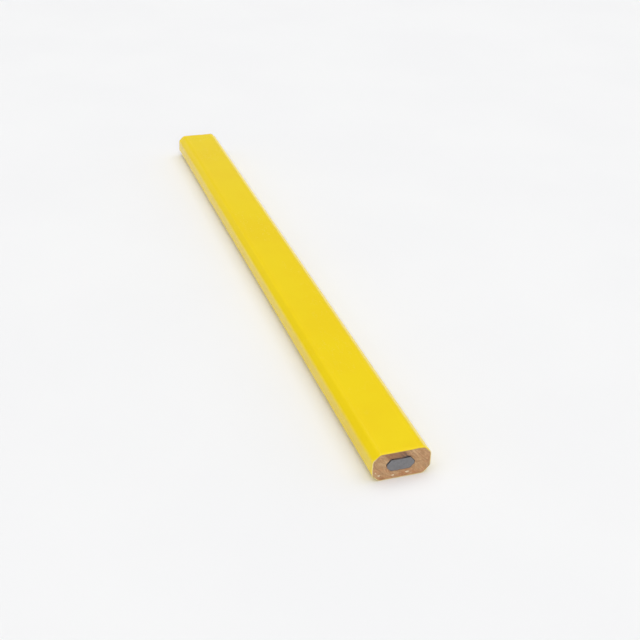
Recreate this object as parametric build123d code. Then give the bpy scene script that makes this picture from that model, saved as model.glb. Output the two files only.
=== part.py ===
from build123d import *

import os

# Carpenter pencil, unsharpened, lying on one of its two wide flats.
#
# Two grooved wooden slats are glued face to face round a flat graphite core. The blank is shaped to a flat
# octagon, filled and primed with a pale base coat, lacquered in a colour, and trimmed square at both ends.
# Millimetres. +Z is up, +Y runs along the pencil, and the origin is the middle of the underside.

# Driving dimensions: the finished pencil, measured over the lacquer
LENGTH = 176.0
WIDTH = 12.4
HEIGHT = 6.4
CORNER_CUT = 1.5  # legs of the four 45 degree corner flats
EDGE_RADIUS = 1.3  # where a corner flat meets a wide flat or a narrow one
END_EASING = 0.15  # the rim of each end is eased by this much, so it never reaches the wood

# Coats, from the outside in
COLOUR_COAT = 0.11
BASE_COAT = 0.08

# Graphite core: a flat octagon
CORE_X = -0.2  # the grooves are cut a little off the pencil's middle
CORE_WIDTH = 5.8
CORE_HEIGHT = 2.6
CORE_CUT_ACROSS = 0.9
CORE_CUT_UP = 1.0
CORE_EDGE_RADIUS = 0.3

# Glue, and the play that the core has in its grooves
SLAT_GLUE = 0.08  # film between the two slats
CORE_GLUE = 0.06  # film under the core and beside it
GAP_ABOVE_CORE = 0.3  # the core lies in the lower groove, so its play shows above it

# Worked out from the values above
JOINT_Z = HEIGHT / 2
WOOD_DEPTH = COLOUR_COAT + BASE_COAT
CORE_Z = JOINT_Z  # the core's middle lies on the joint
GROOVE_WIDTH = CORE_WIDTH + 2 * CORE_GLUE
GROOVE_HEIGHT = CORE_HEIGHT + 2 * CORE_GLUE
FAR = 2 * WIDTH  # beyond any part of the section


def flat_octagon(width, height, cut_across, cut_up, radius):
    """Section of a flat octagon with rounded corners, standing across the pencil about the origin."""
    x, z = width / 2, height / 2
    corners = [
        (-x + cut_across, -z), (x - cut_across, -z), (x, -z + cut_up), (x, z - cut_up),
        (x - cut_across, z), (-x + cut_across, z), (-x, z - cut_up), (-x, -z + cut_up),
    ]
    sharp = make_face(Polyline(*corners, close=True))
    return Plane.XZ * fillet(sharp.vertices(), radius)


def bar(section, middle_x, middle_z):
    """The section run along the whole pencil, about a line at a given place across and up."""
    return Pos(middle_x, 0, middle_z) * extrude(section, LENGTH / 2, both=True)


def slab(low_x, high_x, low_z, high_z):
    """A block over the whole length between two widths and two heights."""
    return Pos((low_x + high_x) / 2, 0, (low_z + high_z) / 2) * Box(
        high_x - low_x, 2 * LENGTH, high_z - low_z
    )


def blank(depth):
    """The shaped pencil taken down by an even depth below the lacquer's surface."""
    cut = CORNER_CUT - depth * (2 - 2**0.5)  # an even depth shortens the legs of a corner flat by this factor
    section = flat_octagon(WIDTH - 2 * depth, HEIGHT - 2 * depth, cut, cut, EDGE_RADIUS - depth)
    return bar(section, 0, JOINT_Z)


def eased_pencil():
    """The finished outer shape, with both end rims eased."""
    whole = blank(0)
    rims = whole.edges().filter_by(Axis.Y, reverse=True)
    return chamfer(rims, END_EASING)


def core_shape():
    """The graphite core's own octagon."""
    section = flat_octagon(CORE_WIDTH, CORE_HEIGHT, CORE_CUT_ACROSS, CORE_CUT_UP, CORE_EDGE_RADIUS)
    return bar(section, CORE_X, CORE_Z)


def groove(raised=0.0):
    """The core's octagon let out by its glue film, and raised by the play above it."""
    radius = CORE_EDGE_RADIUS + CORE_GLUE
    section = flat_octagon(GROOVE_WIDTH, GROOVE_HEIGHT, CORE_CUT_ACROSS, CORE_CUT_UP, radius)
    return bar(section, CORE_X, CORE_Z + raised)


def lower_slat():
    """The half that the core is laid into: everything below the glue film, less the groove."""
    return (blank(WOOD_DEPTH) & slab(-FAR, FAR, -FAR, JOINT_Z - SLAT_GLUE / 2)) - groove()


def upper_slat():
    """The covering half: its groove is cut deeper, and is as wide at the joint as the lower one."""
    left, right = CORE_X - GROOVE_WIDTH / 2, CORE_X + GROOVE_WIDTH / 2
    deep_groove = groove(GAP_ABOVE_CORE) + slab(left, right, JOINT_Z, CORE_Z + GAP_ABOVE_CORE)
    return (blank(WOOD_DEPTH) & slab(-FAR, FAR, JOINT_Z + SLAT_GLUE / 2, FAR)) - deep_groove


def slat_glue(side):
    """The glue film between the slats on one side of the core: -1 is left, 1 is right."""
    film = blank(WOOD_DEPTH) & slab(-FAR, FAR, JOINT_Z - SLAT_GLUE / 2, JOINT_Z + SLAT_GLUE / 2)
    low_x, high_x = sorted((CORE_X + side * GROOVE_WIDTH / 2, side * FAR))
    return film & slab(low_x, high_x, 0, HEIGHT)


def core_glue():
    """The trough of glue that beds the core in the lower groove, up to the top of the joint."""
    return (groove() & slab(-FAR, FAR, 0, JOINT_Z + SLAT_GLUE / 2)) - core_shape()


def coat(outer_depth, thickness):
    """One even coat of paint, from outer_depth below the surface inwards, cut back at the eased rims."""
    return (blank(outer_depth) - blank(outer_depth + thickness)) & eased_pencil()


def build():
    """Every piece by its name."""
    return {
        "lower_slat": lower_slat(),
        "upper_slat": upper_slat(),
        "graphite_core": core_shape(),
        "core_glue": core_glue(),
        "slat_glue_left": slat_glue(-1),
        "slat_glue_right": slat_glue(1),
        "base_coat": coat(COLOUR_COAT, BASE_COAT),
        "colour_coat": coat(0, COLOUR_COAT),
    }


os.makedirs("parts", exist_ok=True)
for name, piece in build().items():
    export_step(piece, f"parts/{name}.step")
    print(f"{name}: {piece.volume:.1f} mm3")
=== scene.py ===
import math
import random

import bpy
from mathutils import Matrix, Quaternion, Vector, kdtree, noise
from mathutils.geometry import delaunay_2d_cdt


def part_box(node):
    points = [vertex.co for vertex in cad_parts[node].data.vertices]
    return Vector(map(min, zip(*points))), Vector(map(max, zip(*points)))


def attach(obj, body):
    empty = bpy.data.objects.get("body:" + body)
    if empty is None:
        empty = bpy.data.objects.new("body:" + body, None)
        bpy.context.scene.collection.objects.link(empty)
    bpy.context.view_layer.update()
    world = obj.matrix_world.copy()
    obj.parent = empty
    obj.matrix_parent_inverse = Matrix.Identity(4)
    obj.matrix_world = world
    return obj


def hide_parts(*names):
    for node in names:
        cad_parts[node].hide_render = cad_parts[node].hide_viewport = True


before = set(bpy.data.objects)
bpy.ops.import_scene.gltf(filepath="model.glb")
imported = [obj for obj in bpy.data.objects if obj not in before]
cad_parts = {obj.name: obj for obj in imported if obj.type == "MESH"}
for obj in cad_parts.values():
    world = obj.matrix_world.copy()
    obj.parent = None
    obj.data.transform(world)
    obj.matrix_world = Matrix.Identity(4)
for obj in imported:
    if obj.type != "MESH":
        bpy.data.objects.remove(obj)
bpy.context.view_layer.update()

mm = 0.001  # the shapes below are written in millimetres and go into Blender in metres


def boxOf(node):
    low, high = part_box(node)
    return low / mm, high / mm


# the pencil's section, from the CAD pieces' own boxes
paintLow, paintHigh = boxOf("colour_coat")
primerLow, _ = boxOf("base_coat")
lowerLow, lowerHigh = boxOf("lower_slat")
upperLow, _ = boxOf("upper_slat")
coreLow, coreHigh = boxOf("graphite_core")
glueLow, glueHigh = boxOf("core_glue")

pencil = {
    "cornerCut": 1.5,  # legs of the four corner flats, measured over the paint
    "ridgeRadius": 1.3,  # rounding where two flats meet
    "coreCutAcross": 0.9,  # the core's own corner flats
    "coreCutUp": 1.0,
    "coreRounding": 0.3,
    "gapAboveCore": 0.3,  # the core's play in the upper groove
    "gapBesideCore": 0.12,  # the extra width of that groove on its left
    "gapLean": 0.25,  # and how far its roof stops short on the right, where it fits the core closely
    "coreMiddle": (coreLow.x + coreHigh.x) / 2,
    "coreHalfWide": (coreHigh.x - coreLow.x) / 2,
    "coreHalfHigh": (coreHigh.z - coreLow.z) / 2,
    "halfWidth": paintHigh.x,
    "halfHeight": (paintHigh.z - paintLow.z) / 2,
    "middle": (paintLow.z + paintHigh.z) / 2,
    "halfLength": lowerHigh.y,
    "paint": primerLow.z - paintLow.z,
    "primer": lowerLow.z - primerLow.z,
}
middle = pencil["middle"]
halfLength = pencil["halfLength"]
woodDepth = pencil["paint"] + pencil["primer"]


class Shade:  # wraps one socket, so that shader maths reads as plain sums
    def __init__(self, tree, socket=None):
        self.tree, self.socket = tree, socket

    # any node: its settings are set first, then values or links go into its sockets
    def node(self, kind, settings=None, values=None, output=0):
        made = self.tree.nodes.new("ShaderNode" + kind)
        for name, value in (settings or {}).items():
            setattr(made, name, value)
        for name, value in (values or {}).items():
            if isinstance(value, Shade):
                self.tree.links.new(value.socket, made.inputs[name])
            else:
                made.inputs[name].default_value = value
        return Shade(self.tree, made.outputs[output])

    def maths(self, operation, first, second=0.0):
        return self.node("Math", {"operation": operation}, {0: first, 1: second})

    def __add__(self, other):
        return self.maths("ADD", self, other)

    def __sub__(self, other):
        return self.maths("SUBTRACT", self, other)

    def __rsub__(self, other):
        return self.maths("SUBTRACT", other, self)

    def __mul__(self, other):
        return self.maths("MULTIPLY", self, other)

    def __abs__(self):
        return self.maths("ABSOLUTE", self)

    __radd__ = __add__
    __rmul__ = __mul__

    def least(self, other):
        return self.maths("MINIMUM", self, other)

    def most(self, other):
        return self.maths("MAXIMUM", self, other)

    # 0 below low and 1 above high, with a soft step between; low may be the larger, for a fall
    def rise(self, low, high):
        span = {"Value": self, "From Min": min(low, high), "From Max": max(low, high)}
        step = self.node("MapRange", {"interpolation_type": "SMOOTHSTEP"}, span)
        return step if low < high else 1 - step

    # this mask takes one colour to another
    def blend(self, first, second):
        return self.node("Mix", {"data_type": "RGBA"}, {0: self, 6: first, 7: second}, output=2)

    def parts(self):
        split = self.node("SeparateXYZ", {}, {0: self}).socket.node
        return [Shade(self.tree, out) for out in split.outputs]

    def stretched(self, x, y, z):
        return self.node("VectorMath", {"operation": "MULTIPLY"}, {0: self, 1: (x, y, z)})

    def distanceTo(self, x, y, z):
        return self.node("VectorMath", {"operation": "DISTANCE"}, {0: self, 1: (x, y, z)}, output=1)

    def clouds(self, scale, detail=2.0, roughness=0.5):
        values = {"Vector": self, "Scale": scale, "Detail": detail, "Roughness": roughness}
        return self.node("TexNoise", {}, values)

    # sparse round specks: about one cell in 1 / share holds one, size is in parts of a cell
    def specks(self, scale, size, share):
        values = {"Vector": self, "Scale": scale}
        reach = self.node("TexVoronoi", {}, values).rise(size, size * 0.5)
        lot = self.node("TexVoronoi", {}, values, output=1).parts()[0]
        return reach * lot.rise(1 - share, 1 - share + 0.02)


def newFinish(name):
    print("finish:", name)
    material = bpy.data.materials.new(name)
    material.use_nodes = True
    tree = material.node_tree
    surface = tree.nodes["Principled BSDF"]
    start = Shade(tree)
    place = start.node("TexCoord", output="Object").stretched(1 / mm, 1 / mm, 1 / mm)
    return material, start, place, surface


def plug(tree, surface, links):
    for name, shade in links.items():
        tree.links.new(shade.socket, surface.inputs[name])


# height is in millimetres
def raised(start, height):
    return start.node("Bump", {}, {"Strength": 1.0, "Distance": mm, "Height": height})


lacquer = {
    "yellow": (0.835, 0.625, 0.004, 1),
    "warm": (0.825, 0.600, 0.003, 1),
    "thin": (0.86, 0.67, 0.03, 1),  # over the ridges, where the primer lightens it
    "dust": (0.66, 0.50, 0.05, 1),
    "sawn": (0.76, 0.64, 0.36, 1),  # primer that the saw rubbed over the lacquer's rim
    "roughness": 0.2,
    "gloss": 0.38,  # specular level
    "ior": 1.46,
    "peel": 0.0012,  # height of the orange peel, in millimetres like all heights here
    "drag": 0.0010,  # lines left by the wiping collar
    "nibs": 0.012,  # dust caught in the wet lacquer
    "hairline": 0.001,  # depth of the fine scratches
    "overRidges": 0.25,  # how much of the thin tone shows over the ridges
    "cutRim": 0.15,  # width of the band that the trimming left dull and pale at each end
    "cutRimTop": (5.6, 5.0),  # the band stays yellow above these heights
}


def lacquerFinish():
    material, start, place, surface = newFinish("yellow_lacquer")
    x, y, z = place.parts()
    across, up = abs(x), abs(z - middle)
    corner = start.node("CombineXYZ", {}, {0: across, 2: up})
    cut, wide, high = pencil["cornerCut"], pencil["halfWidth"], pencil["halfHeight"]
    ridge = corner.distanceTo(wide - cut, 0, high).least(corner.distanceTo(wide, 0, high - cut))
    nearRidge = ridge.rise(0.9, 0.35)
    mottle = place.clouds(0.09, 3)
    drag = place.stretched(3.2, 0.02, 3.2).clouds(1.0, 3, 0.6)
    peel = place.clouds(0.9, 2)
    nibs = place.specks(0.16, 0.022, 0.5)
    marks = place.stretched(0.5, 0.11, 0.5).clouds(1.3, 4, 0.6)
    hairline = abs(marks - 0.5).rise(0.0035, 0.001) * place.clouds(0.07, 2).rise(0.5, 0.62)
    cutRim = abs(y).rise(halfLength - lacquer["cutRim"], halfLength - lacquer["cutRim"] / 2)
    colour = mottle.rise(0.35, 0.7).blend(lacquer["yellow"], lacquer["warm"])
    colour = (nearRidge * lacquer["overRidges"] * drag.rise(0.45, 0.75)).blend(colour, lacquer["thin"])
    colour = (nibs * 0.5 + hairline * 0.12).blend(colour, lacquer["dust"])
    colour = (cutRim * z.rise(*lacquer["cutRimTop"]) * 0.6).blend(colour, lacquer["sawn"])
    roughness = lacquer["roughness"] + 0.05 * mottle + 0.05 * drag + hairline * 0.2 + cutRim * 0.4
    height = peel * lacquer["peel"] + drag * lacquer["drag"] + nibs * lacquer["nibs"]
    height = height - hairline * lacquer["hairline"]
    plug(start.tree, surface, {"Base Color": colour, "Roughness": roughness, "Normal": raised(start, height)})
    surface.inputs["IOR"].default_value = lacquer["ior"]
    surface.inputs["Specular IOR Level"].default_value = lacquer["gloss"]
    return material


chalk = {
    "coat": (0.72, 0.58, 0.34, 1),
    "crumb": (0.72, 0.63, 0.45, 1),
    "grubby": (0.50, 0.36, 0.20, 1),
    "rubbed": (0.40, 0.24, 0.10, 1),  # the upper rim, where the saw rubbed wood into it
    "rubbedFrom": (5.3, 6.0),  # heights over which that sets in
    "rubbedShare": 0.85,
}


def chalkFinish(name, cream, dirtiness):
    material, start, place, surface = newFinish(name)
    grains = place.clouds(9, 3, 0.7)
    dirt = place.clouds(0.8, 3, 0.6).rise(0.48, 0.72)
    colour = (dirt * dirtiness + grains * 0.2).blend(cream, chalk["grubby"])
    x, y, z = place.parts()
    colour = (z.rise(*chalk["rubbedFrom"]) * chalk["rubbedShare"]).blend(colour, chalk["rubbed"])
    plug(start.tree, surface, {
        "Base Color": colour,
        "Roughness": 0.75 + grains * 0.2,
        "Normal": raised(start, grains * 0.02),
    })
    return material


wood = {
    "tan": (0.455, 0.262, 0.121, 1),
    "orange": (0.465, 0.197, 0.077, 1),
    "dark": (0.170, 0.075, 0.036, 1),
    "pale": (0.700, 0.484, 0.276, 1),
    "stain": (0.235, 0.095, 0.050, 1),
    # dark tone for the graphite smear, also used for the painted shade over the gap and the painted shadow
    # round the core
    "smearAndShade": (0.085, 0.052, 0.040, 1),
    "ringWidth": 1.1,
    "sawSlant": 50,  # degrees that the saw's scratches fall from left to right
    # how strongly each mark shows
    "lateWood": 0.10,
    "pores": 0.40,
    "scratchDark": 0.42,
    "scratchPale": 0.50,
    "hairPale": 0.60,
    "hairDark": 0.40,
    "fuzzPale": 0.65,
    "fuzzDark": 0.50,
    # graphite that the saw dragged out of the core, and painted shade: a band over the gap above the core and
    # a painted shadow round the core
    "laneMiddles": (0.7, 1.55),  # where the two lanes lie across, at the core's top
    "laneSlope": 0.85,  # how far they lean to the left for each millimetre up
    "gapShadeAndSmearShare": 0.55,
    "coreShadowShare": 0.45,
}


# coordinates along and across lines that fall from left to right by an angle
def slanted(place, degrees):
    x, y, z = place.parts()
    run, drop = math.cos(math.radians(degrees)), math.sin(math.radians(degrees))
    return x * run - z * drop, x * drop + z * run


# how far a place on the end face lies outside the core's octagon
def awayFromCore(x, z):
    across, up = abs(x - pencil["coreMiddle"]), abs(z - middle)
    wide, high = pencil["coreHalfWide"], pencil["coreHalfHigh"]
    cutAcross, cutUp = pencil["coreCutAcross"], pencil["coreCutUp"]
    slope = math.hypot(cutAcross, cutUp)
    reach = (wide * cutUp + (high - cutUp) * cutAcross) / slope
    corner = across * (cutUp / slope) + up * (cutAcross / slope) - reach
    return (across - wide).most(up - high).most(corner)


# heart is the tree's middle, and the rings run round it; orange is the share of the redder tone
def woodFinish(name, heart, orange):
    material, start, place, surface = newFinish(name)
    x, y, z = place.parts()
    fibre = place.stretched(1, 0.05, 1)
    fromHeart = fibre.distanceTo(heart[0], 0, heart[1]) + fibre.clouds(0.35, 3, 0.55) * 1.8
    ring = start.maths("FRACT", fromHeart * (1 / wood["ringWidth"]))
    lateWood = ring.rise(0.3, 0.85) * ring.rise(1.0, 0.88)
    along, over = slanted(place, wood["sawSlant"])
    broad = start.node("CombineXYZ", {}, {0: along * 0.45, 1: y * 0.2, 2: over * 4.0})
    fine = start.node("CombineXYZ", {}, {0: along * 1.0, 1: y * 0.2, 2: over * 10})
    scratches = broad.clouds(1.0, 4, 0.65)
    hairs = fine.clouds(1.0, 3, 0.6)
    pores = start.node("TexVoronoi", {}, {"Vector": fibre, "Scale": 5.5}).rise(0.34, 0.14)
    mottle = fibre.clouds(0.55, 4, 0.62)
    fuzz = place.clouds(4.5, 4, 0.75)
    redder = mottle.rise(0.38, 0.66) * orange + z.rise(1.5, 0.3) * 0.55
    colour = redder.blend(wood["tan"], wood["orange"])
    for mark, strength, tone in (
        (lateWood, "lateWood", "dark"),
        (pores, "pores", "dark"),
        (scratches.rise(0.49, 0.32), "scratchDark", "dark"),
        (scratches.rise(0.52, 0.68), "scratchPale", "pale"),
        (hairs.rise(0.50, 0.70), "hairPale", "pale"),
        (hairs.rise(0.46, 0.30), "hairDark", "dark"),
        (fuzz.rise(0.5, 0.66), "fuzzPale", "pale"),
        (fuzz.rise(0.48, 0.34), "fuzzDark", "dark"),
    ):
        colour = (mark * wood[strength]).blend(colour, wood[tone])
    # dragged graphite in two lanes up to the rim, with a stain round them; then painted shade darkens the
    # wood over the gap above the core, and a painted shadow runs round the core
    wander = place.clouds(1.6, 2) * 0.5 - 0.25
    lean = x + (z - coreHigh.z) * wood["laneSlope"] + wander
    near, far = wood["laneMiddles"]
    above = z.rise(coreHigh.z - 0.1, coreHigh.z + 0.25)
    fading = z.rise(coreHigh.z + 2.2, coreHigh.z + 0.2)
    lanes = abs(lean - near).rise(0.50, 0.05) * 0.7 + abs(lean - far).rise(0.42, 0.05)
    stain = lean.rise(-2.9, -2.0) * lean.rise(2.4, 1.5) * above
    # partly graphite smear and partly painted shade: the wood just above the gap over the core is darkened
    gapShadeAndSmear = z.rise(coreHigh.z + 0.75, coreHigh.z + 0.15) * (x - wander).rise(-3.1, -2.4) * x.rise(2.4, 1.6)
    # painted shadow: a thin dark band on the wood all round the core
    coreShadow = awayFromCore(x, z).rise(0.22, 0.0)
    colour = (stain * (0.40 + 0.40 * scratches.rise(0.3, 0.65))).blend(colour, wood["stain"])
    smearAndShade = lanes * above * (0.40 + 0.4 * fading) * (0.5 + hairs)
    # the painted shade over the gap and the painted shadow round the core join the graphite smear in one dark
    # mix
    smearAndShade = smearAndShade + gapShadeAndSmear * above * wood["gapShadeAndSmearShare"] + coreShadow * wood["coreShadowShare"]
    colour = smearAndShade.blend(colour, wood["smearAndShade"])
    height = fuzz * 0.02 + scratches * 0.03 + hairs * 0.008 - pores * 0.03
    plug(start.tree, surface, {
        "Base Color": colour,
        "Roughness": 0.75 + fuzz * 0.2 - smearAndShade * 0.25,
        "Normal": raised(start, height),
    })
    return material


graphite = {
    "grey": (0.150, 0.150, 0.157, 1),
    "bright": (0.25, 0.25, 0.26, 1),
    "pit": (0.05, 0.049, 0.05, 1),
    "scoring": 0.45,
    "grain": 0.45,
}


def graphiteFinish():
    material, start, place, surface = newFinish("fired_graphite")
    x, y, z = place.parts()
    slant = start.node("CombineXYZ", {}, {0: (x + z) * 0.4, 1: y * 0.4, 2: (z - x * 0.6) * 6.0})
    scored = slant.clouds(1.0, 3, 0.6)
    polished = scored.rise(0.4, 0.7)
    grit = place.clouds(3.6, 4, 0.75)
    pits = place.specks(2.6, 0.16, 0.4)
    worn = polished * graphite["scoring"] + grit.rise(0.38, 0.62) * graphite["grain"]
    colour = worn.blend(graphite["grey"], graphite["bright"])
    colour = (pits * 0.8).blend(colour, graphite["pit"])
    plug(start.tree, surface, {
        "Base Color": colour,
        "Roughness": 0.42 + grit * 0.2 - scored * 0.1,
        "Metallic": 0.2 + polished * 0.35,
        "Normal": raised(start, scored * 0.02 + grit * 0.008 - pits * 0.03),
    })
    return material


glue = {
    "film": [(0.45, 0.25, 0.115, 1), (0.33, 0.17, 0.08, 1)],
    "bead": [(0.17, 0.085, 0.055, 1), (0.09, 0.05, 0.038, 1)],  # darkened by graphite
}


def glueFinish(name, colours):
    material, start, place, surface = newFinish(name)
    lumps = place.clouds(2.2, 4, 0.6)
    colour = lumps.rise(0.35, 0.65).blend(*colours)
    plug(start.tree, surface, {
        "Base Color": colour,
        "Roughness": 0.35 + lumps * 0.35,
        "Normal": raised(start, lumps * 0.03),
    })
    return material


ground = {
    "shade": (0.828, 0.828, 0.830, 1),
    "light": (0.840, 0.840, 0.839, 1),
    "gloss": 0.2,
    "reach": 6.0,  # metres each way
    "level": -0.00002,  # just under the pencil, in metres
}


def floorFinish():
    material, start, place, surface = newFinish("pale_floor")
    grain = place.clouds(0.02, 3)
    plug(start.tree, surface, {
        "Base Color": grain.rise(0.3, 0.7).blend(ground["shade"], ground["light"]),
        "Roughness": 0.75 + grain * 0.15,
    })
    surface.inputs["Specular IOR Level"].default_value = ground["gloss"]
    return material


# points round a polygon of (x, z, rounding) corners, anticlockwise, spaced evenly on its straight runs
def roundedOutline(corners, spacing):
    starts, points = [], []
    count = len(corners)
    for at in range(count):
        here = Vector(corners[at][:2])
        before = (Vector(corners[at - 1][:2]) - here).normalized()
        after = (Vector(corners[(at + 1) % count][:2]) - here).normalized()
        rounding = corners[at][2]
        if rounding == 0:
            starts.append([here])
            continue
        half = before.angle(after) / 2
        centre = here + (before + after).normalized() * (rounding / math.sin(half))
        first = here + before * (rounding / math.tan(half)) - centre
        sweep = math.pi - 2 * half
        steps = max(2, round(sweep * rounding / spacing * 1.6))
        side = 1 if before.cross(after) < 0 else -1
        arc = [centre + Matrix.Rotation(side * sweep * step / steps, 2) @ first for step in range(steps + 1)]
        starts.append(arc)
    for at in range(count):
        points += starts[at]
        ahead = starts[(at + 1) % count][0]
        run = ahead - points[-1]
        pieces = max(1, round(run.length / spacing))
        origin = points[-1].copy()
        points += [origin + run * (step / pieces) for step in range(1, pieces)]
    return points


def meshPiece(name, points, faces, material, sharp=50):
    mesh = bpy.data.meshes.new(name)
    mesh.from_pydata([Vector(p) * mm for p in points], [], faces)
    mesh.validate()
    mesh.polygons.foreach_set("use_smooth", [True] * len(mesh.polygons))
    mesh.set_sharp_from_angle(angle=math.radians(sharp))
    mesh.materials.append(material)
    piece = bpy.data.objects.new(name, mesh)
    bpy.context.scene.collection.objects.link(piece)
    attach(piece, "root")
    return piece


# a fine net over an outline: its points and triangles, which points are the rim, and how far each is from it
def fillNet(outline, spacing, seed):
    chance = random.Random(seed)
    count = len(outline)
    edgeTree = kdtree.KDTree(count)
    for at, point in enumerate(outline):
        edgeTree.insert((point.x, point.y, 0), at)
    edgeTree.balance()
    low = Vector((min(p.x for p in outline), min(p.y for p in outline)))
    high = Vector((max(p.x for p in outline), max(p.y for p in outline)))
    points = list(outline)
    rows = int((high.y - low.y) / (spacing * 0.87)) + 1
    columns = int((high.x - low.x) / spacing) + 1
    for row in range(rows):
        for column in range(columns):
            shift = Vector((chance.uniform(-0.2, 0.2), chance.uniform(-0.2, 0.2))) * spacing
            point = low + Vector(((column + 0.5 * (row % 2)) * spacing, row * spacing * 0.87)) + shift
            if edgeTree.find((point.x, point.y, 0))[2] > spacing * 0.7:
                points.append(point)
    edges = [(at, (at + 1) % count) for at in range(count)]
    net, _, faces, origin, _, _ = delaunay_2d_cdt(points, edges, [], 1, 1e-5)
    used = sorted({at for face in faces for at in face})
    place = {at: new for new, at in enumerate(used)}
    fromInput = {}
    for at in used:
        for source in origin[at]:
            fromInput[source] = place[at]
    rim = [fromInput[at] for at in range(count)]
    net = [net[at] for at in used]
    faces = [[place[at] for at in face] for face in faces]
    away = [edgeTree.find((p.x, p.y, 0))[2] for p in net]
    return net, faces, rim, away


# a bar with its section's outline; relief(x, z, away, end) pushes its end faces inwards
def barPiece(name, outline, spacing, relief, material, seed):
    net, faces, rim, away = fillNet(outline, spacing, seed)
    points, skins = [], []
    for end in (-1, 1):
        base = len(points)
        for point, gap in zip(net, away):
            points.append((point.x, end * (halfLength - relief(point.x, point.y, gap, end)), point.y))
        turned = faces if end < 0 else [face[::-1] for face in faces]
        skins += [[base + at for at in face] for face in turned]
    back = len(net)
    rings = [rim]
    for y in (-halfLength + 0.6, -halfLength + 3, halfLength - 3, halfLength - 0.6):
        rings.append(list(range(len(points), len(points) + len(rim))))
        points += [(net[at].x, y, net[at].y) for at in rim]
    rings.append([back + at for at in rim])
    for first, second in zip(rings, rings[1:]):
        for at in range(len(rim)):
            following = (at + 1) % len(rim)
            skins.append([first[following], first[at], second[at], second[following]])
    return meshPiece(name, points, skins, material)


def ripple(x, z, scale, seed):
    return noise.noise(Vector((x * scale, seed * 7.31, z * scale)))


sawnWood = {
    "least": 0.012,  # how far even its highest spots lie inside the end's plane
    "kerf": 0.010,
    "tear": 0.06,
    "fibre": 0.020,
    "crush": 0.02,
    "slant": math.radians(wood["sawSlant"]),
}


# sawn end grain: kerf lines on a slant, torn pits, stubs of fibre, and a rim crushed except at the joint
def woodRelief(x, z, away, end):
    across = z * math.cos(sawnWood["slant"]) + x * math.sin(sawnWood["slant"])
    kerf = math.sin(across * 17 + ripple(x, z, 0.5, end) * 4) * 0.5 + 0.5
    tear = max(0.0, ripple(x, z, 0.9, 3 + end) - 0.22) * 1.6
    fibre = max(0.0, ripple(x, z, 5.5, 5 + end)) + 0.5 * max(0.0, ripple(x, z, 11, 9 + end))
    nearJoint = math.exp(-(((z - middle) / 0.15) ** 2))
    crush = math.exp(-away / 0.10) * (0.6 + 0.8 * ripple(x, z, 1.3, 12 + end)) * (1 - nearJoint)
    depth = sawnWood["least"] + sawnWood["kerf"] * kerf + sawnWood["tear"] * tear
    return depth + sawnWood["fibre"] * fibre + sawnWood["crush"] * max(0.0, crush)


cutCore = {"score": 0.010, "chip": 0.16, "grit": 0.012, "sunk": 0.03, "slant": -0.75}


# the harder core is scored by the saw, and its brittle rim is chipped here and there
def coreRelief(x, z, away, end):
    across = z * math.cos(cutCore["slant"]) + x * math.sin(cutCore["slant"])
    score = math.sin(across * 26 + ripple(x, z, 0.7, 21 + end) * 5) * 0.5 + 0.5
    score *= max(0.0, 0.6 + ripple(x, z, 1.1, 24 + end))
    chip = max(0.0, ripple(x, z, 1.7, 27 + end) - 0.05) * math.exp(-away / 0.14)
    grit = max(0.0, ripple(x, z, 9, 30 + end)) * cutCore["grit"]
    return cutCore["sunk"] + cutCore["score"] * score + cutCore["chip"] * chip + grit


def halfOctagon(side):
    wide = pencil["halfWidth"] - woodDepth
    high = pencil["halfHeight"] - woodDepth
    cut = pencil["cornerCut"] - woodDepth * (2 - math.sqrt(2))
    rounding = pencil["ridgeRadius"] - woodDepth
    return [
        (-wide, side * (high - cut), rounding),
        (-wide + cut, side * high, rounding),
        (wide - cut, side * high, rounding),
        (wide, side * (high - cut), rounding),
    ]


# side -1 is the lower slat, 1 the upper; the groove's floor or roof lies at grooveEnd
def slatOutline(side, joint, grooveEnd, spacing):
    cutAcross, cutUp = pencil["coreCutAcross"], pencil["coreCutUp"]
    left, right = glueLow.x, glueHigh.x
    inner = innerRight = grooveEnd - side * cutUp
    endRight = right - cutAcross
    rounding = 0.2
    if side > 0:
        left -= pencil["gapBesideCore"]
        endRight -= pencil["gapLean"]
        innerRight -= pencil["gapAboveCore"]
    wide = pencil["halfWidth"] - woodDepth
    shell = [(x, middle + z, soft) for x, z, soft in halfOctagon(side)]
    corners = [(-wide, joint, 0), *shell, (wide, joint, 0)]
    corners += [
        (right, joint, 0),
        (right, innerRight, rounding),
        (endRight, grooveEnd, rounding),
        (left + cutAcross, grooveEnd, rounding),
        (left, inner, rounding),
        (left, joint, 0),
    ]
    if side > 0:
        corners.reverse()
    return roundedOutline(corners, spacing)


def coreOutline(spacing):
    left, right, low, high = coreLow.x, coreHigh.x, coreLow.z, coreHigh.z
    across, up, rounding = pencil["coreCutAcross"], pencil["coreCutUp"], pencil["coreRounding"]
    corners = [
        (left + across, low), (right - across, low), (right, low + up), (right, high - up),
        (right - across, high), (left + across, high), (left, high - up), (left, low + up),
    ]
    return roundedOutline([(x, z, rounding) for x, z in corners], spacing)


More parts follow.
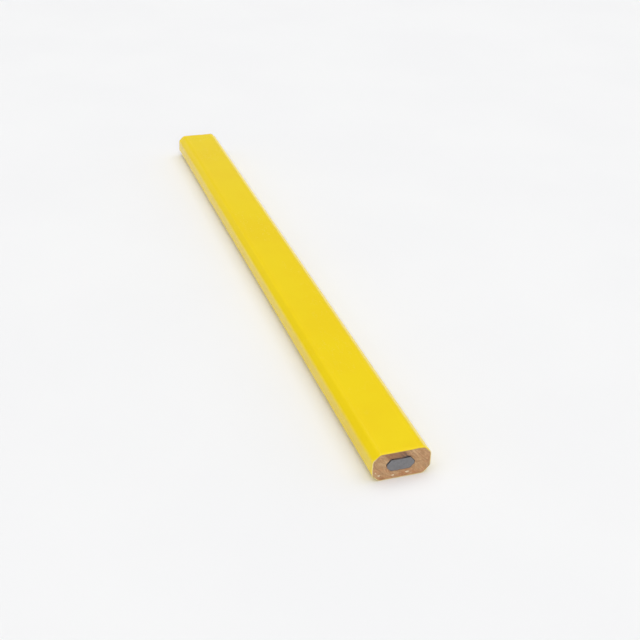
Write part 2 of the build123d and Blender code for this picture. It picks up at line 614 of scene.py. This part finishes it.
slats = {
    "netSize": 0.11,
    "lowerHeart": (-26.0, -22.0),  # where the tree's middle lies from the pencil's axis
    "lowerOrange": 0.85,  # the share of the redder tone
    "upperHeart": (30.0, 27.0),
    "upperOrange": 0.4,
}
coreNetSize = 0.09
woodLower = woodFinish("lower_slat_wood", slats["lowerHeart"], slats["lowerOrange"])
woodUpper = woodFinish("upper_slat_wood", slats["upperHeart"], slats["upperOrange"])
grooveRoof = coreHigh.z + (glueHigh.x - coreHigh.x) + pencil["gapAboveCore"]
lowerLine = slatOutline(-1, lowerHigh.z, glueLow.z, slats["netSize"])
upperLine = slatOutline(1, upperLow.z, grooveRoof, slats["netSize"])
lowerSlat = barPiece("lowerSlat", lowerLine, slats["netSize"], woodRelief, woodLower, 1)
upperSlat = barPiece("upperSlat", upperLine, slats["netSize"], woodRelief, woodUpper, 2)
core = barPiece("graphiteCore", coreOutline(coreNetSize), coreNetSize, coreRelief, graphiteFinish(), 3)
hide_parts("lower_slat")
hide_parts("upper_slat")
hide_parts("graphite_core")
print("slats and core")


# points round the pencil at a depth below the paint's surface, each with the direction that faces outwards
def octagonRing(depth):
    radius = pencil["ridgeRadius"]
    wide, high = pencil["halfWidth"] - radius, pencil["halfHeight"] - radius
    cut = pencil["cornerCut"] - radius * (2 - math.sqrt(2))
    centres = [
        (wide - cut, -high), (wide, -high + cut), (wide, high - cut), (wide - cut, high),
        (-wide + cut, high), (-wide, high - cut), (-wide, -high + cut), (-wide + cut, -high),
    ]
    flats = [8, 14, 8, 34] * 2  # how many steps each flat is cut into, after its corner
    cornerSteps = 6
    ring = []
    for at, (x, z) in enumerate(centres):
        start = math.radians(-90 + 45 * at)
        for step in range(cornerSteps + 1):
            turn = start + math.radians(45) * step / cornerSteps
            ring.append((Vector((x, z)), Vector((math.cos(turn), math.sin(turn)))))
        out = ring[-1][1]
        ahead = Vector(centres[(at + 1) % 8])
        for step in range(1, flats[at]):
            ring.append((Vector((x, z)).lerp(ahead, step / flats[at]), out))
    return [(centre + out * (radius - depth), out) for centre, out in ring]


def loft(rings):
    size = len(rings[0])
    faces = []
    for first in range(len(rings)):
        second = (first + 1) % len(rings)
        for at in range(size):
            here, following = first * size, second * size
            beside = (at + 1) % size
            faces.append([here + beside, here + at, following + at, following + beside])
    return [point for ring in rings for point in ring], faces


bruises = {"seed": 14, "count": 26, "depth": 0.035, "reach": 0.8}
waves = {"slow": 0.016, "quick": 0.004, "deepest": 0.06}  # from shaping, and the most that anything sinks
bruiseChance = random.Random(bruises["seed"])
bruiseSpots = []
for _ in range(bruises["count"]):
    bruiseSide = bruiseChance.choice((-1, 1))
    ridgeX = bruiseSide * (pencil["halfWidth"] - bruiseChance.choice((0, pencil["cornerCut"])))
    ridgeZ = middle + bruiseChance.choice((-1, 1)) * pencil["halfHeight"]
    spot = Vector((ridgeX, bruiseChance.uniform(-halfLength, halfLength), ridgeZ))
    bruiseSpots.append((spot, bruiseChance.uniform(0.4, 1.0)))


# how far the painted surface lies below its nominal place: slow waves from shaping, and small bruises
def coatSag(x, y, z):
    slow = noise.noise(Vector((x * 0.16, y * 0.045, z * 0.16))) * 0.5 + 0.5
    quick = noise.noise(Vector((x * 0.5, y * 0.22, z * 0.5 + 40))) * 0.5 + 0.5
    sag = waves["slow"] * slow + waves["quick"] * quick
    for spot, force in bruiseSpots:
        if abs(spot.y - y) < 3:
            gap = (Vector((x, y * 0.6, z)) - Vector((spot.x, spot.y * 0.6, spot.z))).length
            sag += bruises["depth"] * force * math.exp(-((gap / bruises["reach"]) ** 2))
    return min(sag, waves["deepest"])


# how a coat's rims lie at the ends: how far in, how ragged and how chipped; rows is the step along the pencil
coats = {
    "colour": {"setBack": 0.04, "fine": 0.02, "chips": 0.30, "seed": 41, "rows": 0.55},
    "base": {"setBack": 0.01, "fine": 0.02, "chips": 0.08, "seed": 47, "rows": 5.5},  # only its rims are seen
}


# how far a coat's rim is worn back at one place round the pencil
def ragged(x, z, end, coat):
    seed, fine = coat["seed"], coat["fine"]
    edge = fine * (0.5 + 0.5 * ripple(x, z, 1.1, seed + end))
    edge += fine * 0.6 * abs(ripple(x, z, 5, seed + 2 * end))
    return edge + coat["chips"] * max(0.0, ripple(x, z, 0.8, seed + 5 * end) - 0.28) * 2.4


# a coat between two depths; its rims are set back from the pencil's ends and rounded over
def coatPiece(name, outer, inner, coat, material):
    thick = inner - outer
    clear = 0.7  # the plain rows stay this far from the ends
    rowCount = int((2 * halfLength - 2 * clear) / coat["rows"]) + 1
    outerRing = octagonRing(outer)

    def rimRings(end):
        made = []
        for turn in (0, 20, 45, 70, 90):
            depth = outer + thick * (1 - math.sin(math.radians(turn)))
            back = (1 - math.cos(math.radians(turn))) * thick * 0.6
            ring = []
            for point, out in octagonRing(depth):
                gap = coat["setBack"] + back + ragged(point.x, point.y, end, coat)
                ring.append((point.x, end * (halfLength - gap), middle + point.y))
            made.append(ring)
        return made

    rings = rimRings(-1)
    for row in range(rowCount):
        y = -halfLength + clear + coat["rows"] * row
        ring = []
        for point, out in outerRing:
            sag = coatSag(point.x, y, middle + point.y) if outer == 0 else 0.0
            placed = point - out * sag
            ring.append((placed.x, y, middle + placed.y))
        rings.append(ring)
    rings += rimRings(1)[::-1]
    points, faces = loft(rings)
    return meshPiece(name, points, faces, material, 60)


primerFinish = chalkFinish("cream_primer", chalk["coat"], 0.7)
colourCoat = coatPiece("colourCoat", 0.0, pencil["paint"], coats["colour"], lacquerFinish())
baseCoat = coatPiece("baseCoat", pencil["paint"], woodDepth, coats["base"], primerFinish)
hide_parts("colour_coat")
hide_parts("base_coat")
print("coats")


# the glue stays as the CAD makes it, with its own finish
for node in ("core_glue", "slat_glue_left", "slat_glue_right"):
    finish = glueFinish(node, glue["film"])
    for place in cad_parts[node].material_slots:
        place.material = finish
print("glue")


# what the saw left on the ends
endLitter = {
    # x, z, half width and half height of the filler crumbs caught along the front end's lower edge
    "fillerFront": [
        (-4.7, 1.30, 0.46, 0.28),
        (-5.45, 2.1, 0.16, 0.30),
        (-1.75, 0.92, 0.55, 0.20),
        (1.2, 1.08, 0.60, 0.28),
        (2.1, 0.72, 0.20, 0.10),
    ],
    "fillerBack": [(3.6, 0.75, 0.30, 0.12), (-2.4, 0.62, 0.22, 0.10), (5.2, 3.9, 0.10, 0.25)],
    # x, height over the core's top, half width and half height of the glue squeezed into the gap there
    "beads": [(-1.15, 0.20, 0.62, 0.13), (-0.25, 0.23, 0.50, 0.12), (0.35, 0.26, 0.22, 0.09)],
    "sink": 0.05,  # how deep the middle of a crumb, bead or grain lies in the end face
    "crumbThick": 0.042,
    "beadThick": 0.05,
    "dust": 46,  # grains of graphite thrown at each end; those that miss the wood are left out
    "dustSpread": (0.3, 1.8),  # their middle across, and how widely they scatter
    "dustRise": (0.25, 0.55),  # the least height over the core, and how far they scatter above it
    "dustSize": (0.02, 0.06),
    "dustThick": 0.03,
    "fuzz": 70,  # torn fibres at each end
    "fuzzLong": (0.2, 0.7),
    "fuzzThick": (0.015, 0.035),
    "woodAcross": (-5.7, 5.7),  # the fibres keep to these limits
    "woodUp": (0.35, 6.0),
    "seed": 77,
}
litterChance = random.Random(endLitter["seed"])


# a flattened lump with an uneven outline, just inside the end's plane
def lump(points, faces, x, z, end, wide, high, thick, seed):
    rings, around = 4, 14
    base = len(points)
    skins = []
    level = end * (halfLength - endLitter["sink"])
    for ring in range(rings + 1):
        slope = math.pi * (ring + 0.5) / (rings + 1)
        share = math.sin(slope)
        lift = math.cos(slope) * thick
        for step in range(around):
            turn = 2 * math.pi * step / around
            wobble = 1 + 0.45 * noise.noise(Vector((math.cos(turn) * 1.5, math.sin(turn) * 1.5, seed * 3.7)))
            points.append((
                x + wide * share * wobble * math.cos(turn),
                level - end * lift,
                z + high * share * wobble * math.sin(turn),
            ))
    for ring in range(rings):
        for step in range(around):
            following = (step + 1) % around
            first, second = base + ring * around, base + (ring + 1) * around
            skins.append([first + step, first + following, second + following, second + step])
    skins.append([base + step for step in range(around)][::-1])
    skins.append([base + rings * around + step for step in range(around)])
    faces += skins if end < 0 else [skin[::-1] for skin in skins]  # so that they face outwards at both ends


# a torn fibre: a thin tapering sliver that lies along the saw's scratches
def sliver(points, faces, x, z, end, long, thick, lean):
    base = len(points)
    for step in range(5):
        share = step / 4
        girth = thick * (1 - 0.75 * share) * (0.5 + share if share < 0.5 else 1)
        along = long * (share - 0.5)
        middleX = x + along * math.cos(lean) + 0.1 * long * share * share * math.sin(lean)
        middleZ = z - along * math.sin(lean) + 0.1 * long * share * share
        middleY = end * (halfLength - 0.02 - 0.02 * (1 - share))
        for turn in (0.4, 2.0, 3.5, 5.1):
            points.append((
                middleX + girth * math.cos(turn) * math.sin(lean),
                middleY + girth * 0.35 * math.sin(turn),
                middleZ + girth * math.cos(turn) * math.cos(lean),
            ))
    for step in range(4):
        for turn in range(4):
            following = (turn + 1) % 4
            first, second = base + step * 4, base + step * 4 + 4
            faces.append([first + turn, second + turn, second + following, first + following])
    faces.append([base + turn for turn in range(4)])
    faces.append([base + 16 + turn for turn in range(4)][::-1])


# a place on the wood of an end face, clear of the core and the coats
def spotOnWood(chance):
    toCorner = pencil["halfWidth"] + pencil["halfHeight"] - pencil["cornerCut"] - 0.5
    while True:
        x, z = chance.uniform(*endLitter["woodAcross"]), chance.uniform(*endLitter["woodUp"])
        inCorner = abs(x) + abs(z - middle) > toCorner
        overCore = abs(x - pencil["coreMiddle"]) < pencil["coreHalfWide"] + 0.35
        if not inCorner and not (overCore and abs(z - middle) < pencil["coreHalfHigh"] + 0.5):
            return x, z


fillerPoints, fillerFaces = [], []
for end, crumbs in ((-1, endLitter["fillerFront"]), (1, endLitter["fillerBack"])):
    for number, (x, z, wide, high) in enumerate(crumbs):
        lump(fillerPoints, fillerFaces, x, z, end, wide, high, endLitter["crumbThick"], number + 20 * end)
crumbFinish = chalkFinish("filler_crumbs", chalk["crumb"], 0.3)
fillerCrumbs = meshPiece("fillerCrumbs", fillerPoints, fillerFaces, crumbFinish, 80)

beadPoints, beadFaces = [], []
for end in (-1, 1):
    for number, (x, rise, wide, high) in enumerate(endLitter["beads"]):
        height, thick = coreHigh.z + rise, endLitter["beadThick"]
        lump(beadPoints, beadFaces, x * -end, height, end, wide, high, thick, number + 40 * end)
beadFinish = glueFinish("squeezed_glue", glue["bead"])
glueBeads = meshPiece("glueBeads", beadPoints, beadFaces, beadFinish, 80)

dustPoints, dustFaces = [], []
fuzzPoints, fuzzFaces = [], []
for end in (-1, 1):
    for number in range(endLitter["dust"]):
        x = litterChance.gauss(*endLitter["dustSpread"])
        leastRise, riseSpread = endLitter["dustRise"]
        z = coreHigh.z + leastRise + abs(litterChance.gauss(0, riseSpread))
        if z < 6.05 and abs(x) < 4:
            size = litterChance.uniform(*endLitter["dustSize"])
            lump(dustPoints, dustFaces, x, z, end, size, size * 0.8, endLitter["dustThick"], number)
    for number in range(endLitter["fuzz"]):
        x, z = spotOnWood(litterChance)
        lean = sawnWood["slant"] + litterChance.gauss(0, 0.25)
        long = litterChance.uniform(*endLitter["fuzzLong"])
        thick = litterChance.uniform(*endLitter["fuzzThick"])
        sliver(fuzzPoints, fuzzFaces, x, z, end, long, thick, lean)
fibreFinish = woodFinish("torn_fibre", slats["lowerHeart"], 0.2)
graphiteDust = meshPiece("graphiteDust", dustPoints, dustFaces, core.data.materials[0], 80)
woodFuzz = meshPiece("woodFuzz", fuzzPoints, fuzzFaces, fibreFinish, 80)
print("litter on the ends")


def addFloor():
    mesh = bpy.data.meshes.new("floor")
    reach, level = ground["reach"], ground["level"]
    corners = [(-reach, -reach, level), (reach, -reach, level), (reach, reach, level), (-reach, reach, level)]
    mesh.from_pydata(corners, [], [(0, 1, 2, 3)])
    mesh.materials.append(floorFinish())
    floor = bpy.data.objects.new("floor", mesh)
    bpy.context.scene.collection.objects.link(floor)


studio = {
    "surround": (0.14, 0.142, 0.148, 1),
    "skyline": (0.92, 0.922, 0.93, 1),  # a pale band round the room, low down, but for its far left corner
    "skylineTop": (0.40, 0.12),  # where the band has faded out, and where it is full
    "darkAcross": (-0.28, -0.45),  # where that corner sets in, across and along
    "darkAlong": (0.45, 0.65),
    "lights": [  # name, where it shines from, how wide it looks in degrees, strength
        ("overhead", (0.02, 0.08, 1.0), 80, 1.90),
        ("left", (-0.77, 0.00, 0.64), 40, 0.40),
        ("right", (0.80, 0.10, 0.58), 50, 0.45),
        ("front", (-0.17, -0.86, 0.47), 32, 1.03),
    ],
}


def addLights():
    world = bpy.data.worlds.new("softSurround")
    bpy.context.scene.world = world
    world.use_nodes = True
    start = Shade(world.node_tree)
    x, y, z = start.node("TexCoord", output="Generated").parts()
    darkCorner = x.rise(*studio["darkAcross"]) * y.rise(*studio["darkAlong"])
    band = z.rise(*studio["skylineTop"]) * (1 - darkCorner)
    glow = band.blend(studio["surround"], studio["skyline"])
    world.node_tree.links.new(glow.socket, world.node_tree.nodes["Background"].inputs["Color"])
    for name, source, width, strength in studio["lights"]:
        light = bpy.data.lights.new(name, "SUN")
        light.angle = math.radians(width)
        light.energy = strength
        holder = bpy.data.objects.new(name, light)
        holder.rotation_euler = Vector(source).to_track_quat("Z", "Y").to_euler()
        bpy.context.scene.collection.objects.link(holder)


viewpoint = {
    "eye": (-0.07174, -0.23764, 0.13204),
    "bearing": 19.730,  # degrees from +Y towards +X
    "downwards": 30.429,
    "roll": 2.159,
    "lens": 59.87,
    "sensor": 36,
}


def addCamera():
    bearing, down = math.radians(viewpoint["bearing"]), math.radians(viewpoint["downwards"])
    level = Vector((math.sin(bearing), math.cos(bearing), 0))
    aim = level * math.cos(down) - Vector((0, 0, math.sin(down)))
    turn = aim.to_track_quat("-Z", "Y") @ Quaternion((0, 0, 1), math.radians(viewpoint["roll"]))
    lens = bpy.data.cameras.new("camera")
    lens.lens = viewpoint["lens"]
    lens.sensor_width = viewpoint["sensor"]
    lens.clip_start = 0.01
    camera = bpy.data.objects.new("camera", lens)
    camera.location = viewpoint["eye"]
    camera.rotation_euler = turn.to_euler()
    bpy.context.scene.collection.objects.link(camera)
    bpy.context.scene.camera = camera


addFloor()
addLights()
addCamera()
bpy.context.scene.view_settings.view_transform = "Standard"
print("floor, lights and camera")
